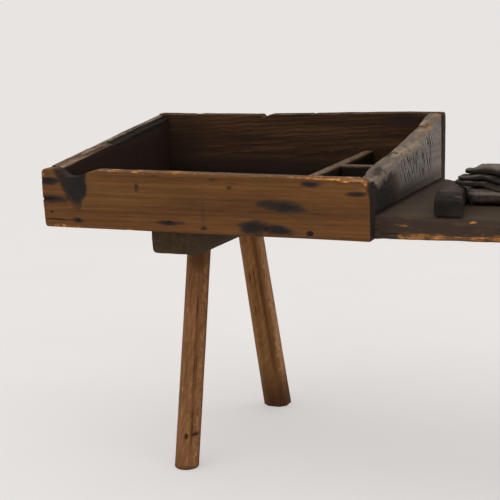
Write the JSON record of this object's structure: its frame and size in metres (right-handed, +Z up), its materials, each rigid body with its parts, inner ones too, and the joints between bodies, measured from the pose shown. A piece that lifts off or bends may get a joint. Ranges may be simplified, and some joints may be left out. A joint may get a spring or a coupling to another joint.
{
  "type": "cobbler's bench",
  "caption": "Old wooden cobbler's bench: a plank on splayed, wedged legs, with a low-walled tool tray and small cells at one end and a worn leather seat at the other.",
  "frame": {"origin": "on the floor under the middle of the bench's bounding box", "axes": "+X along the bench from tray to seat, +Y from its front to its back, +Z up"},
  "size_m": [1.144, 0.456, 0.5725],
  "materials": {
    "plank_wood": "worn, dark and greasy",
    "front_wood": "worn smooth, burnt and scarred",
    "tray_wood": "dark and worn",
    "end_wood": "grey and scored with knife cuts",
    "divider_wood": "dark and worn",
    "batten_wood": "rough sawn",
    "leg_wood": "hewn and worn smooth",
    "wedge_wood": "plain",
    "rim_leather": "cracked and dusty",
    "hide_leather": "creased and dusty",
    "iron": "dark and rusty"
  },
  "bodies": {
    "root": {"bench_plank": "plank_wood", "front_board": "front_wood", "back_board": "tray_wood", "left_end_board": "tray_wood", "right_end_board": "end_wood", "long_divider": "divider_wood", "cross_divider": "divider_wood", "front_strip": "divider_wood", "tray_batten": "batten_wood", "seat_batten": "batten_wood", "tray_front_leg": "leg_wood", "tray_back_leg": "leg_wood", "seat_front_leg": "leg_wood", "seat_back_leg": "leg_wood", "tray_front_wedge": "wedge_wood", "tray_back_wedge": "wedge_wood", "seat_front_wedge": "wedge_wood", "seat_back_wedge": "wedge_wood", "seat_rim": "rim_leather", "seat_pad": "hide_leather", "lower_hide": "hide_leather", "middle_hide": "hide_leather", "upper_hide": "hide_leather", "front_nail_1": "iron", "front_nail_2": "iron", "front_nail_3": "iron", "front_nail_4": "iron", "front_nail_5": "iron", "front_nail_6": "iron", "front_nail_7": "iron", "front_nail_8": "iron", "front_nail_9": "iron", "back_nail_1": "iron", "back_nail_2": "iron", "back_nail_3": "iron", "back_nail_4": "iron", "back_nail_5": "iron", "back_nail_6": "iron", "back_nail_7": "iron", "back_nail_8": "iron", "back_nail_9": "iron", "tray_batten_nail_1": "iron", "tray_batten_nail_2": "iron", "tray_batten_nail_3": "iron", "tray_batten_nail_4": "iron", "seat_batten_nail_1": "iron", "seat_batten_nail_2": "iron", "seat_batten_nail_3": "iron", "seat_batten_nail_4": "iron", "rim_nail_1": "iron", "rim_nail_2": "iron", "rim_nail_3": "iron", "rim_nail_4": "iron"}
  },
  "joints": []
}
